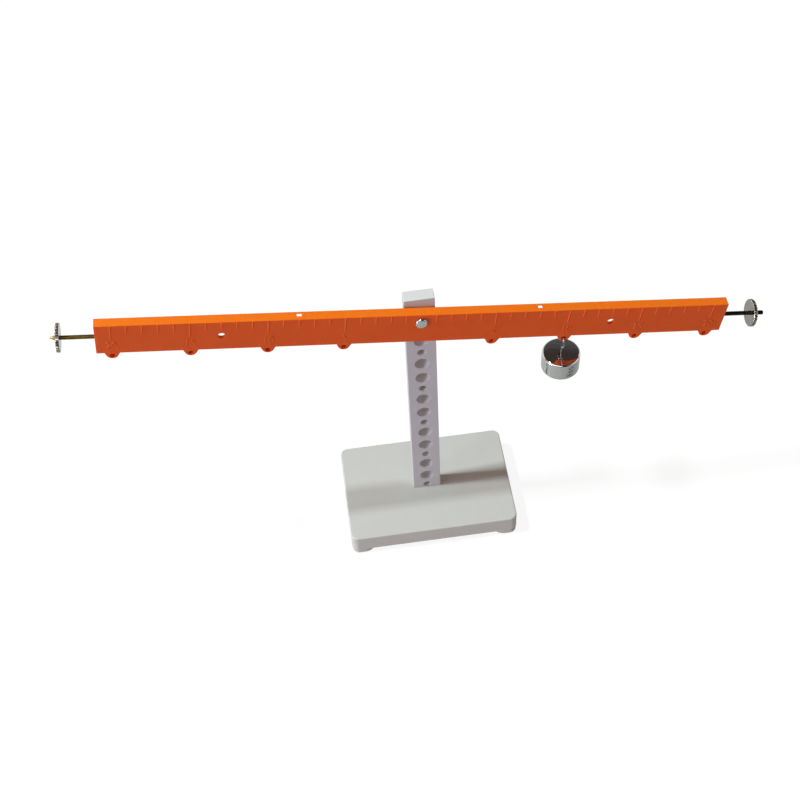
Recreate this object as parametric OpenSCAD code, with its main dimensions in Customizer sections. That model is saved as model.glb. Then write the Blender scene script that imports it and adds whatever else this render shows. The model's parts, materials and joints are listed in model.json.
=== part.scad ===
// Demonstration lever: a graduated channel beam on a drilled column and a moulded base.
// Millimetres, +Z up. The origin is on the table, under the middle of the base.
// X runs along the beam, Y runs from the front to the back.

/* [Base] */
// Width of the base, along the beam
base_w = 127; // [110:1:150]
// Depth of the base, front to back
base_d = 86; // [74:1:110]
// Height of the moulded body above its lower rim
base_h = 14.5; // [13:0.5:20]
// Radius of the base's upright corners
base_corner_r = 5.5; // [3:0.5:8]
// Radius of the base's top edge
base_edge_r = 1.2; // [0.6:0.1:2]
// Thickness of the base's side walls
base_wall = 2.4; // [1.8:0.1:3]
// Thickness of the base's top
base_top_t = 2.8; // [2:0.1:3.4]
// Thickness of the ribs under the top
base_rib_t = 1.8; // [1.2:0.1:2.4]
// Distance of the ribs' lower edge above the rim of the walls
base_rib_up = 2; // [1:0.5:4]
// Height of the feet below the rim of the walls
foot_h = 5.5; // [4.5:0.5:8]
// Diameter of a foot
foot_d = 18.6; // [15:0.2:22]
// Diameter of the hollow in a foot
foot_core_d = 13.4; // [8:0.2:13.4]
// Distance of a foot from the outer face of the walls
foot_inset = 0.3; // [0.1:0.1:1]

/* [Column] */
// Width of the column
col_w = 20.6; // [18:0.1:24]
// Depth of the column, front to back
col_d = 9; // [8:0.1:12]
// Distance of the column's axis behind the middle of the base
col_back = 1.5; // [-4:0.5:6]
// Depth to which the column sits in the base
col_seat = 11; // [9:0.5:11.5]
// Height of the column above the pivot
col_top_margin = 13.9; // [8:0.1:24]
// Number of small holes up the column, the top one for the pivot
small_holes = 6; // [3:1:7]
// Height of the lowest small hole above the base
first_hole_h = 3.2; // [3:0.1:6]
// Distance between two small holes
hole_pitch = 38.8; // [32:0.1:44]
// Diameter of the large holes, in pairs between the small ones
big_hole_d = 9.5; // [7:0.1:10]
// Distance between the two large holes of a pair
pair_pitch = 15.2; // [12:0.1:18]
// Width of the soft rim round each hole
hole_rim = 0.5; // [0.2:0.1:0.8]
// Wall of the socket that takes the column
socket_wall = 2.2; // [1.6:0.1:3]
// Floor of the socket, which the screws go through
socket_floor = 2.4; // [1.8:0.1:2.6]
// Gap between the column and its socket, on each side
seat_gap = 0.05; // [0.02:0.01:0.2]

/* [Column screws] */
// Diameter of the screws' thread
screw_d = 3; // [2.5:0.1:3.5]
// Length of the screws under the head
screw_l = 11.5; // [9:0.5:13]
// Diameter of the screws' head
screw_head_d = 6; // [5:0.1:7]
// Height of the screws' head
screw_head_h = 2.2; // [1.6:0.1:2.4]
// Distance between the two screws
screw_gap = 11; // [9:0.5:12]
// Diameter of the washers under the heads
screw_washer_d = 7; // [6:0.1:8]
// Thickness of the washers under the heads
screw_washer_t = 0.8; // [0.5:0.1:1]

/* [Beam] */
// Tilt of the beam, positive with the right end down
tilt = 7.5; // [-15:0.5:15]
// Length of the beam
beam_l = 420; // [380:1:460]
// Distance between two graduations
grad = 10; // [8:0.5:12]
// Least length of the beam past its last graduation
end_margin = 10; // [8:0.5:14]
// Height of the beam's face
beam_h = 25.6; // [22:0.1:30]
// Thickness of the beam, front to back
beam_t = 7; // [6:0.1:10]
// Distance of the pivot below the beam's top edge
pivot_drop = 7; // [7:0.1:12]
// Thickness of the beam's front wall
beam_front_t = 1.4; // [1:0.1:2]
// Thickness of the beam's top and bottom flanges
flange_t = 1.6; // [1.2:0.1:2.4]
// Radius of the beam's front edges
beam_edge_r = 0.5; // [0.2:0.1:0.8]
// Thickness of the ribs behind the front wall
beam_rib_t = 1.2; // [0.8:0.1:2]
// Length of the solid block at each end of the beam
end_block = 12; // [11:0.5:14]
// Diameter of the hub round the pivot hole
hub_d = 13; // [9:0.5:13.8]

/* [Scale and lugs] */
// Graduations from one long mark, or lug, to the next
lug_every = 5; // [5:5:10]
// Width of a raised mark
tick_w = 0.8; // [0.5:0.1:1.2]
// Height of a raised mark above the face
tick_rise = 0.3; // [0.2:0.05:0.5]
// Length of a short mark
tick_short = 6.6; // [4:0.1:8]
// Length of a long mark
tick_long = 12; // [9:0.1:14]
// Radius of a hanging lug's round end
lug_r = 3.6; // [3.2:0.1:4.4]
// Width of a lug where it meets the beam
lug_w = 10; // [9:0.1:12]
// Depth of a lug below the beam's bottom edge
lug_drop = 5.1; // [4.8:0.1:6]
// Diameter of a lug's eyelet
eyelet_d = 3.5; // [3:0.1:4]
// Distance of an eyelet's middle below the beam's bottom edge
eyelet_drop = 2.3; // [2.1:0.1:2.8]
// Graduation of the two spare holes in the beam's face
spare_at = 13; // [11:1:14]
// Diameter of the spare holes
spare_d = 5; // [3:0.1:6]
// Graduation of the two slots in the top flange
slot_at = 8; // [6:1:9]
// Width of a slot along the beam
slot_w = 3.4; // [2:0.1:5]
// Depth of a slot, front to back
slot_d = 2.8; // [2:0.1:3.4]
// Distance of a slot behind the front face
slot_from = 3; // [2:0.1:3.2]

/* [Pivot] */
// Diameter of the pivot pin
pin_d = 5; // [4:0.1:5.5]
// Diameter of the pin's head
pin_head_d = 8; // [7:0.1:10]
// Thickness of the pin's head
pin_head_t = 1.8; // [1.2:0.1:3]
// Bevel round the pin's head
pin_head_bevel = 0.4; // [0.2:0.1:0.6]
// Length of the pin past its nut
pin_tail = 1.5; // [1:0.5:4]
// Running gap between the pin and the beam's hub
run_gap = 0.05; // [0.02:0.01:0.1]
// Gap between the pin and the column's small holes
pin_slack = 0.15; // [0.1:0.05:0.3]
// Diameter of the spacer washer behind the beam
spacer_d = 10; // [8:0.5:12]
// Thickness of the spacer washer
spacer_t = 0.4; // [0.3:0.1:1.5]
// End play of the beam on the pin, on each side
end_play = 0.1; // [0.05:0.05:0.3]
// Diameter of the washer behind the column
rear_washer_d = 10; // [9.4:0.1:12]
// Thickness of the washer behind the column
rear_washer_t = 1; // [0.6:0.1:1.6]
// Width of the pivot nut across its flats
pivot_nut_af = 8; // [7:0.5:10]
// Thickness of the pivot nut
pivot_nut_t = 4; // [3:0.1:5]

/* [Balance studs and nuts] */
// Diameter of the studs
stud_d = 3; // [2.5:0.1:3.5]
// Length of a stud inside the beam's end
stud_in = 10; // [7:0.5:10]
// Length of the left stud outside the beam
left_stud_out = 28; // [26:0.1:36]
// Length of the right stud outside the beam
right_stud_out = 29; // [26:0.1:36]
// Length of the left stud's point
stud_point = 3; // [1:0.5:3]
// Diameter of the flat on the left stud's point
stud_tip_d = 0.7; // [0.4:0.1:1.2]
// Bevel on the right stud's blunt end
stud_bevel = 0.4; // [0.2:0.1:0.8]
// Diameter of a balance nut
nut_d = 19; // [14:0.5:22]
// Thickness of a balance nut
nut_t = 2.5; // [1.5:0.1:3]
// Number of grooves round a balance nut
nut_grooves = 30; // [18:2:36]
// Diameter of a groove
groove_d = 1.1; // [0.8:0.1:1.2]
// Distance of a groove's middle outside the nut's rim
groove_out = 0.3; // [0:0.05:0.35]
// Distance of the left nut's middle from the beam's end
left_nut_at = 22.8; // [4:0.1:23]
// Distance of the right nut's middle from the beam's end
right_nut_at = 20.4; // [4:0.1:24]
// Gap between a nut and its stud, all round
thread_gap = 0.05; // [0.02:0.01:0.1]

/* [Weight] */
// Graduation of the lug that carries the weight
weight_at = 10; // [5:5:15]
// Diameter of the weight
weight_d = 26.6; // [20:0.1:32]
// Height of the weight
weight_h = 15.5; // [13:0.1:22]
// Bevel round the weight's edges
weight_bevel = 0.6; // [0.3:0.1:1]
// Distance of the weight's top below the eyelet
weight_hang = 17.5; // [16:0.1:24]
// Diameter of the recess under the weight
recess_d = 18; // [14:0.1:18]
// Depth of the recess under the weight
recess_h = 8.5; // [7:0.1:9]
// Diameter of the cross pin in the recess
cross_pin_d = 2; // [1.5:0.1:2.5]
// Distance of the cross pin's middle above the weight's lower face
cross_pin_up = 2.2; // [1.6:0.1:2.8]
// Length of the cross pin in the wall on each side
cross_pin_in = 2; // [1.5:0.1:2.5]

/* [Hook] */
// Diameter of the hook's wire
wire_d = 1.2; // [1:0.1:1.4]
// Radius of the hook's loop, at the middle of the wire
loop_r = 6; // [5.6:0.1:7]
// Radius of the bend from the loop into the shank
bend_r = 3; // [2:0.1:4]
// Height of the loop's top above the eyelet's middle
loop_up = 0.4; // [0.2:0.05:0.5]
// Turn of the wire past the loop's top, down behind the lug
loop_tail = 125; // [100:5:140]
// Length of the shank inside the weight
shank_in = 5; // [3:0.5:6]

/* [Hidden] */
$fn = 64;
eps = 0.01;
cut = 1;
edge_steps = 5;

// Heights of the base and its socket
base_top = foot_h + base_h;
cavity_top = base_top - base_top_t;
seat_z = base_top - col_seat;
foot_x = base_w / 2 - foot_inset - foot_d / 2;
foot_y = base_d / 2 - foot_inset - foot_d / 2;

// Heights up the column
pivot_z = base_top + first_hole_h + (small_holes - 1) * hole_pitch;
col_top = pivot_z + col_top_margin;
small_hole_d = pin_d + 2 * pin_slack;
col_front = col_back - col_d / 2;
col_rear = col_back + col_d / 2;

// Places on the beam, in its own frame: x from the pivot, y from the front face, z from the pivot
half_beam = beam_l / 2;
grads = floor((half_beam - end_margin) / grad);
beam_bottom = pivot_drop - beam_h;
stud_z = pivot_drop - beam_h / 2;
stud_y = beam_t / 2;
eyelet_z = beam_bottom - eyelet_drop;
lug_z = beam_bottom - lug_drop + lug_r;
// Degrees past the tangent at which a lug's side runs into its round end
lug_run_in = 6;
// Places of the lugs
lugs = [for (i = [lug_every : lug_every : grads]) i * grad];
beam_gap = spacer_t + end_play;
beam_y = col_front - beam_gap - beam_t;
pin_front = beam_y - end_play;
pin_rear = col_rear + rear_washer_t + pivot_nut_t + pin_tail;

// Place of the eyelet that carries the weight, in the part's frame
hang_x = weight_at * grad * cos(tilt) + eyelet_z * sin(tilt);
hang_y = beam_y + beam_t / 2;
hang_z = pivot_z - weight_at * grad * sin(tilt) + eyelet_z * cos(tilt);
weight_top = -weight_hang;
weight_bottom = weight_top - weight_h;
loop_z = loop_up - loop_r;
bend_z = loop_z - sqrt(loop_r * loop_r + 2 * loop_r * bend_r);
bend_turn = asin(bend_r / (loop_r + bend_r));
wire_sides = 12;
loop_steps = 28;
bend_steps = 7;

// Rings of the hook's wire in the YZ plane: place, then the direction away from the bend's middle
function loop_ring(a) = [loop_r * sin(a), loop_z - loop_r * cos(a), sin(a), -cos(a)];
function bend_ring(a) = [bend_r * (sin(a) - 1), bend_z - bend_r * cos(a), -sin(a), cos(a)];
hook_path = concat(
    [for (i = [0 : loop_steps]) loop_ring(180 - loop_tail + (180 + loop_tail - bend_turn) * i / loop_steps)],
    [for (i = [1 : bend_steps]) bend_ring(180 - bend_turn - (90 - bend_turn) * i / bend_steps)],
    [[0, weight_top - shank_in, -1, 0]]
);

// Points of an arc round (cx, cy), from one angle to another
function arc(cx, cy, r, from, to) = [
    for (i = [0 : edge_steps])
        let (a = from + (to - from) * i / edge_steps)
        [cx + r * cos(a), cy + r * sin(a)]
];

// Moves what is drawn in the beam's frame to its place on the pivot
module on_beam() {
    translate([0, beam_y, pivot_z])
        rotate([0, tilt, 0])
            children();
}

// Moves what is drawn under the eyelet to its place on the beam
module on_hook() {
    translate([hang_x, hang_y, hang_z])
        children();
}

// A rod along Y, from one place to another
module rod_y(d, from, to) {
    translate([0, from, 0])
        rotate([-90, 0, 0])
            cylinder(d = d, h = to - from);
}

// A rod along X, from one place to another
module rod_x(d, from, to) {
    translate([from, 0, 0])
        rotate([0, 90, 0])
            cylinder(d = d, h = to - from);
}

// A flat washer on the Z axis
module washer(d, bore, t) {
    difference() {
        cylinder(d = d, h = t);
        translate([0, 0, -cut])
            cylinder(d = bore, h = t + 2 * cut);
    }
}

// Half of the base's upright section: a wall-side strip with a rounded top edge
module edge_section() {
    polygon(concat(
        [[0, foot_h], [base_corner_r, foot_h]],
        arc(base_corner_r - base_edge_r, base_top - base_edge_r, base_edge_r, 0, 90),
        [[0, base_top]]
    ));
}

// One straight side of the base, drawn outwards from the strip's inner line
module edge_side(length) {
    rotate([90, 0, 90])
        translate([0, 0, -length / 2])
            linear_extrude(height = length)
                edge_section();
}

// The base as a solid slab with rounded corners and top edge
module base_slab() {
    in_x = base_w / 2 - base_corner_r;
    in_y = base_d / 2 - base_corner_r;
    translate([-in_x, -in_y, foot_h])
        cube([2 * in_x, 2 * in_y, base_h]);
    for (turn = [0, 180]) {
        rotate([0, 0, turn])
            translate([0, in_y, 0])
                edge_side(2 * in_x);
        rotate([0, 0, turn + 90])
            translate([0, in_x, 0])
                edge_side(2 * in_y);
    }
    for (sx = [-1, 1], sy = [-1, 1])
        translate([sx * in_x, sy * in_y, 0])
            rotate([0, 0, sx > 0 ? (sy > 0 ? 0 : 270) : (sy > 0 ? 90 : 180)])
                rotate_extrude(angle = 90)
                    edge_section();
}

// A rectangle with rounded corners
module soft_rectangle(w, d, r) {
    square([w - 2 * r, d], center = true);
    square([w, d - 2 * r], center = true);
    for (sx = [-1, 1], sy = [-1, 1])
        translate([sx * (w / 2 - r), sy * (d / 2 - r)])
            circle(r = r);
}

// The hollow under the base's top
module base_hollow() {
    translate([0, 0, foot_h - cut])
        linear_extrude(height = base_h - base_top_t + cut)
            soft_rectangle(base_w - 2 * base_wall, base_d - 2 * base_wall, base_corner_r - base_wall);
}

// Ribs from the socket to the four walls
module base_ribs() {
    rib_z = foot_h + base_rib_up;
    rib_h = cavity_top + eps - rib_z;
    translate([-base_w / 2 + base_wall / 2, col_back - base_rib_t / 2, rib_z])
        cube([base_w - base_wall, base_rib_t, rib_h]);
    translate([-base_rib_t / 2, -base_d / 2 + base_wall / 2, rib_z])
        cube([base_rib_t, base_d - base_wall, rib_h]);
}

// Outside of the socket that takes the column
module socket_box() {
    box_w = col_w + 2 * (seat_gap + socket_wall);
    box_d = col_d + 2 * (seat_gap + socket_wall);
    translate([-box_w / 2, col_back - box_d / 2, seat_z - socket_floor])
        cube([box_w, box_d, cavity_top + eps - seat_z + socket_floor]);
}

// Room for the column and its two screws
module socket_room() {
    room_w = col_w + 2 * seat_gap;
    room_d = col_d + 2 * seat_gap;
    translate([-room_w / 2, col_back - room_d / 2, seat_z])
        cube([room_w, room_d, col_seat + cut]);
    for (side = [-1, 1])
        translate([side * screw_gap / 2, col_back, seat_z - socket_floor - cut])
            cylinder(d = screw_d + 2 * seat_gap, h = socket_floor + 2 * cut);
}

// Moulded base: a hollow tray on four ring feet, with ribs and the column's socket
module base_shell() {
    color("gainsboro")
        difference() {
            union() {
                difference() {
                    base_slab();
                    base_hollow();
                }
                base_ribs();
                socket_box();
                for (sx = [-1, 1], sy = [-1, 1])
                    translate([sx * foot_x, sy * foot_y, 0])
                        cylinder(d = foot_d, h = cavity_top + eps);
            }
            socket_room();
            for (sx = [-1, 1], sy = [-1, 1])
                translate([sx * foot_x, sy * foot_y, -cut])
                    cylinder(d = foot_core_d, h = cavity_top + cut);
        }
}

// A hole through the column, with a soft rim at both faces
module column_hole(d, z) {
    translate([0, 0, z]) {
        rod_y(d, col_front - cut, col_rear + cut);
        for (face = [0, 1])
            translate([0, face ? col_rear - hole_rim : col_front + hole_rim, 0])
                rotate([face ? -90 : 90, 0, 0])
                    cylinder(d1 = d, d2 = d + 4 * hole_rim, h = 2 * hole_rim);
    }
}

// Upright column with its rows of small holes and pairs of large ones
module column() {
    color("lightgrey")
        difference() {
            translate([-col_w / 2, col_front, seat_z])
                cube([col_w, col_d, col_top - seat_z]);
            for (row = [0 : small_holes - 1])
                column_hole(small_hole_d, base_top + first_hole_h + row * hole_pitch);
            for (row = [0 : small_holes - 2], side = [-1, 1])
                column_hole(big_hole_d,
                    base_top + first_hole_h + (row + 0.5) * hole_pitch + side * pair_pitch / 2);
            for (side = [-1, 1])
                translate([side * screw_gap / 2, col_back, seat_z - cut])
                    cylinder(d = screw_d + 2 * thread_gap, h = screw_l + cut);
        }
}

// Two screws that hold the column in its socket from below
module column_screws() {
    head_top = seat_z - socket_floor - screw_washer_t;
    color("silver")
        for (side = [-1, 1])
            translate([side * screw_gap / 2, col_back, head_top]) {
                cylinder(d = screw_d, h = screw_l);
                translate([0, 0, -screw_head_h])
                    cylinder(d = screw_head_d, h = screw_head_h);
            }
}

// Washers between the screws' heads and the socket's floor
module column_screw_washers() {
    color("silver")
        for (side = [-1, 1])
            translate([side * screw_gap / 2, col_back, seat_z - socket_floor - screw_washer_t])
                washer(screw_washer_d, screw_d + 2 * seat_gap, screw_washer_t);
}

// Headed pivot pin through the beam and the column
module pivot_pin() {
    head_r = pin_head_d / 2;
    color("silver")
        translate([0, pin_front, pivot_z])
            rotate([-90, 0, 0])
                rotate_extrude()
                    polygon([
                        [0, -pin_head_t], [head_r - pin_head_bevel, -pin_head_t],
                        [head_r, pin_head_bevel - pin_head_t], [head_r, 0],
                        [pin_d / 2, 0], [pin_d / 2, pin_rear - pin_front], [0, pin_rear - pin_front]
                    ]);
}

// Thin washer that keeps the beam off the column
module pivot_spacer() {
    color("white")
        translate([0, col_front, pivot_z])
            rotate([90, 0, 0])
                washer(spacer_d, pin_d + 2 * run_gap, spacer_t);
}

// Washer between the column and the pivot nut
module pivot_rear_washer() {
    color("silver")
        translate([0, col_rear, pivot_z])
            rotate([-90, 0, 0])
                washer(rear_washer_d, pin_d + 2 * run_gap, rear_washer_t);
}

// Hexagon nut on the pin's rear end
module pivot_nut() {
    color("silver")
        translate([0, col_rear + rear_washer_t, pivot_z])
            rotate([-90, 0, 0])
                difference() {
                    cylinder(d = pivot_nut_af / cos(30), h = pivot_nut_t, $fn = 6);
                    translate([0, 0, -cut])
                        cylinder(d = pin_d + 2 * thread_gap, h = pivot_nut_t + 2 * cut);
                }
}

// Outline of the beam's section, with its two front edges rounded
module beam_outline() {
    r = beam_edge_r;
    polygon(concat(
        [[beam_t, beam_bottom], [beam_t, pivot_drop]],
        arc(r, pivot_drop - r, r, 90, 180),
        arc(r, beam_bottom + r, r, 180, 270)
    ));
}

// Section of the beam: a channel open at the back
module beam_section() {
    difference() {
        beam_outline();
        translate([beam_front_t, beam_bottom + flange_t])
            square([beam_t - beam_front_t + cut, beam_h - 2 * flange_t]);
    }
}

// A stretch of the beam's section, from one place to another
module beam_stretch(from, to) {
    translate([from, 0, 0])
        rotate([90, 0, 90])
            linear_extrude(height = to - from)
                children();
}

// Hub, ribs and end blocks inside the channel
module beam_stiffeners() {
    rib_pitch = lug_every * grad;
    for (side = [-1, 1]) {
        for (x = [rib_pitch : rib_pitch : half_beam - end_block - beam_rib_t])
            beam_stretch(side * x - beam_rib_t / 2, side * x + beam_rib_t / 2)
                beam_outline();
        block_at = side > 0 ? half_beam - end_block : -half_beam;
        beam_stretch(block_at, block_at + end_block)
            beam_outline();
    }
    rod_y(hub_d, beam_front_t / 2, beam_t);
}

// Tapered lug under the beam, its sides running into a round end
module lug(x) {
    room = lug_r + cut;
    half_w = lug_w / 2;
    rise = beam_bottom - lug_z;
    root_z = beam_bottom + flange_t / 2;
    side_turn = atan2(rise, half_w) - acos(lug_r / norm([half_w, rise])) - lug_run_in;
    side_x = lug_r * cos(side_turn);
    side_z = lug_z + lug_r * sin(side_turn);
    translate([x, 0, 0]) {
        intersection() {
            translate([0, 0, lug_z])
                rod_y(2 * lug_r, 0, beam_t);
            translate([-room, -cut, lug_z - room])
                cube([2 * room, beam_t + 2 * cut, root_z - lug_z + room]);
        }
        translate([0, beam_t, 0])
            rotate([90, 0, 0])
                linear_extrude(height = beam_t)
                    polygon([
                        [-half_w, root_z], [-half_w, beam_bottom], [-side_x, side_z],
                        [side_x, side_z], [half_w, beam_bottom], [half_w, root_z]
                    ]);
    }
}

// Raised marks of the scale, long at every lug
module scale_marks() {
    mark_top = pivot_drop - beam_edge_r;
    for (side = [-1, 1], i = [1 : grads]) {
        length = i % lug_every == 0 ? tick_long : tick_short;
        translate([side * i * grad - tick_w / 2, -tick_rise, pivot_drop - length])
            cube([tick_w, tick_rise + beam_front_t / 2, mark_top - pivot_drop + length]);
    }
}

// Everything that is cut out of the beam
module beam_cuts() {
    rod_y(pin_d + 2 * run_gap, -cut, beam_t + cut);
    for (side = [-1, 1]) {
        for (x = lugs)
            translate([side * x, 0, eyelet_z])
                rod_y(eyelet_d, -cut, beam_t + cut);
        translate([side * spare_at * grad, 0, stud_z])
            rod_y(spare_d, -cut, beam_front_t + cut);
        translate([side * slot_at * grad - slot_w / 2, slot_from, pivot_drop - flange_t - cut])
            cube([slot_w, slot_d, flange_t + 2 * cut]);
        translate([0, stud_y, stud_z])
            rod_x(stud_d, side > 0 ? half_beam - stud_in : -half_beam - cut,
                side > 0 ? half_beam + cut : stud_in - half_beam);
    }
}

// Moulded beam: channel, stiffeners, lugs and raised scale
module lever_beam() {
    color("darkorange")
        on_beam()
            difference() {
                union() {
                    beam_stretch(-half_beam, half_beam)
                        beam_section();
                    beam_stiffeners();
                    scale_marks();
                    for (side = [-1, 1], x = lugs)
                        lug(side * x);
                }
                beam_cuts();
            }
}

// Stud in the beam's left end, with a pointed tip
module left_balance_stud() {
    r = stud_d / 2;
    color("darkkhaki")
        on_beam()
            translate([-half_beam, stud_y, stud_z])
                rotate([0, -90, 0])
                    rotate_extrude()
                        polygon([
                            [0, -stud_in], [r, -stud_in], [r, left_stud_out - stud_point],
                            [stud_tip_d / 2, left_stud_out], [0, left_stud_out]
                        ]);
}

// Stud in the beam's right end, with a blunt tip
module right_balance_stud() {
    r = stud_d / 2;
    color("dimgrey")
        on_beam()
            translate([half_beam, stud_y, stud_z])
                rotate([0, 90, 0])
                    rotate_extrude()
                        polygon([
                            [0, -stud_in], [r, -stud_in], [r, right_stud_out - stud_bevel],
                            [r - stud_bevel, right_stud_out], [0, right_stud_out]
                        ]);
}

// Thin disc nut with a grooved rim, on the stud's axis
module balance_nut(x) {
    color("lightsteelblue")
        on_beam()
            translate([x, stud_y, stud_z])
                difference() {
                    rod_x(nut_d, -nut_t / 2, nut_t / 2);
                    rod_x(stud_d + 2 * thread_gap, -nut_t, nut_t);
                    for (i = [0 : nut_grooves - 1])
                        rotate([i * 360 / nut_grooves, 0, 0])
                            translate([0, 0, nut_d / 2 + groove_out])
                                rod_x(groove_d, -nut_t, nut_t);
                }
}

// Left balance nut
module left_balance_nut() {
    balance_nut(-half_beam - left_nut_at);
}

// Right balance nut
module right_balance_nut() {
    balance_nut(half_beam + right_nut_at);
}

// Hung weight: a turned slug with a recess under it
module weight_body() {
    r = weight_d / 2;
    color("silver")
        on_hook()
            difference() {
                rotate_extrude()
                    polygon([
                        [0, weight_bottom + recess_h], [recess_d / 2, weight_bottom + recess_h],
                        [recess_d / 2, weight_bottom], [r - weight_bevel, weight_bottom],
                        [r, weight_bottom + weight_bevel], [r, weight_top - weight_bevel],
                        [r - weight_bevel, weight_top], [0, weight_top]
                    ]);
                translate([0, 0, weight_top - shank_in])
                    cylinder(d = wire_d, h = shank_in + cut);
                translate([0, 0, weight_bottom + cross_pin_up])
                    rod_x(cross_pin_d, -recess_d / 2 - cross_pin_in, recess_d / 2 + cross_pin_in);
            }
}

// Wire hook through the eyelet: loop, bend and shank swept as one tube
module weight_hook() {
    last = len(hook_path) - 1;
    points = [
        for (p = hook_path, s = [0 : wire_sides - 1])
            let (turn = 360 * s / wire_sides, side = wire_d / 2 * cos(turn), out = wire_d / 2 * sin(turn))
            [side, p[0] + out * p[2], p[1] + out * p[3]]
    ];
    sides = [
        for (i = [0 : last - 1], s = [0 : wire_sides - 1])
            let (a = i * wire_sides + s, b = i * wire_sides + (s + 1) % wire_sides)
            [a, b, b + wire_sides, a + wire_sides]
    ];
    ends = [
        [for (s = [wire_sides - 1 : -1 : 0]) s],
        [for (s = [0 : wire_sides - 1]) last * wire_sides + s]
    ];
    color("silver")
        on_hook()
            polyhedron(points, concat(sides, ends));
}

// Pin across the recess, for hanging a second weight
module weight_cross_pin() {
    reach = recess_d / 2 + cross_pin_in;
    color("silver")
        on_hook()
            translate([0, 0, weight_bottom + cross_pin_up])
                rod_x(cross_pin_d, -reach, reach);
}

base_shell();
column();
column_screws();
column_screw_washers();
pivot_pin();
pivot_spacer();
pivot_rear_washer();
pivot_nut();
lever_beam();
left_balance_stud();
right_balance_stud();
left_balance_nut();
right_balance_nut();
weight_body();
weight_hook();
weight_cross_pin();
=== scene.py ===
import json
import math

import bmesh
import bpy
from mathutils import Matrix, Vector


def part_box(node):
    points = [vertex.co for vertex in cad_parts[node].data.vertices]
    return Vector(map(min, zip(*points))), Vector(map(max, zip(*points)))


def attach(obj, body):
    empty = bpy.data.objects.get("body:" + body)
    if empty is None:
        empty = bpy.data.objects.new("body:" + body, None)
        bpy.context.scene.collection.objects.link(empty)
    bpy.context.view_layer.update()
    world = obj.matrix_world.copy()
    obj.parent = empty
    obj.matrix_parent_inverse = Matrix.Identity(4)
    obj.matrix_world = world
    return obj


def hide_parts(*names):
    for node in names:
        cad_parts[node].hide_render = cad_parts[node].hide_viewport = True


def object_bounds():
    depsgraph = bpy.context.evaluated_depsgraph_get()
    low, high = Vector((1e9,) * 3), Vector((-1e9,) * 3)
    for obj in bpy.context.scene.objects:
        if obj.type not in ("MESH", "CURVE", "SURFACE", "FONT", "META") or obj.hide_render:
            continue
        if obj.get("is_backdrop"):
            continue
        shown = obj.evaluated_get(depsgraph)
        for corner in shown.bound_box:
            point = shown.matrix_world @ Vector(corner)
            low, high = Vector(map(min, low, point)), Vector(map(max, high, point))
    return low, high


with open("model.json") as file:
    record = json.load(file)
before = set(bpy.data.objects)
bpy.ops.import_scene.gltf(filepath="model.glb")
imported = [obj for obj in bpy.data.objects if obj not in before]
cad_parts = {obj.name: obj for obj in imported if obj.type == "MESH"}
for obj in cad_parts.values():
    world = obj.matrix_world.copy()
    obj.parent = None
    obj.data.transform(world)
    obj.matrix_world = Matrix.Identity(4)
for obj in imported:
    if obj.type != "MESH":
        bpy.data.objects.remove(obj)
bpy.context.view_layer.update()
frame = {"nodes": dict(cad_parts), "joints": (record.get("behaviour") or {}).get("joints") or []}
scene = bpy.context.scene

# Lengths are in millimetres and angles in degrees. The floor, the lamps and the cards are in metres
MM = 0.001

# Beam: a channel open at the back, measured from its pivot and from its front
BEAM_HALF = 210.0
BEAM_TOP = 7.0
BEAM_BOTTOM = -18.6
BEAM_T = 7.0
BEAM_FRONT_T = 1.4
FLANGE_T = 1.6
BEAM_EDGE = 0.5
BEAM_BACK_EDGE = 0.25
BEAM_RIBS = (-150, -100, -50, 50, 100, 150)
BEAM_RIB_T = 1.2
CELL_CORNER = 1.0
CELL_FLOOR_EDGE = 0.3
END_BLOCK = 12.0
HUB_R = 6.5
PIVOT_RIM = 0.3

# Scale on the beam's front: ridges and numbers
GRAD = 10.0
GRADS = 20
TICK_W = 0.9
TICK_TOP_W = 0.3
TICK_RISE = 0.3
TICK_ROOT = 0.5
TICK_SHORT = 6.6
TICK_LONG = 12.0
NUMERAL_H = 6.2
NUMERAL_Z = -10.8
NUMERAL_RISE = 0.27
NUMERAL_SQUEEZE = 0.86
NUMERAL_SWELL = 0.01
NUMERAL_CHAMFER = 0.03
NUMERAL_WALL = 0.4

# Lugs under the beam, its spare holes and its top slots
LUG_EVERY = 5
LUG_R = 4.0
LUG_HALF_W = 5.0
LUG_DROP = 5.1
LUG_EDGE = 0.35
EYELET_R = 1.75
EYELET_Z = -20.9
EYELET_RIM = 0.15
SPARE_AT = 130.0
SPARE_R = 2.5
SPARE_FRONT_RIM = 0.12
SPARE_BACK_RIM = 0.2
SPARE_BOSS_R = 4.4
SPARE_BOSS_T = 2.7
SLOT_AT = 80.0
SLOT_W = 3.4
SLOT_D = 1.9
SLOT_UNDERCUT = 1.5
SLOT_FROM = 3.0

# Balance studs and nuts: a thread's depth and crest are shares of its pitch
THREAD_DEPTH = 0.58
THREAD_CREST = (0.32, 0.68)
STUD_R = 1.5
STUD_PITCH = 0.5
STUD_IN = 10.0
STUD_Z = -5.8
LEFT_STUD_OUT = 28.0
LEFT_TIP_R = 0.35
LEFT_TIP = 3.0
RIGHT_STUD_OUT = 29.0
RIGHT_TIP_R = 1.1
RIGHT_TIP = 0.4
NUT_R = 9.5
NUT_T = 2.5
NUT_EDGE = 0.3
NUT_GROOVES = 30
GROOVE_STEPS = 12
GROOVE_R = 0.6
GROOVE_OUT = 0.2
LEFT_NUT_AT = 22.8
RIGHT_NUT_AT = 20.4

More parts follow.
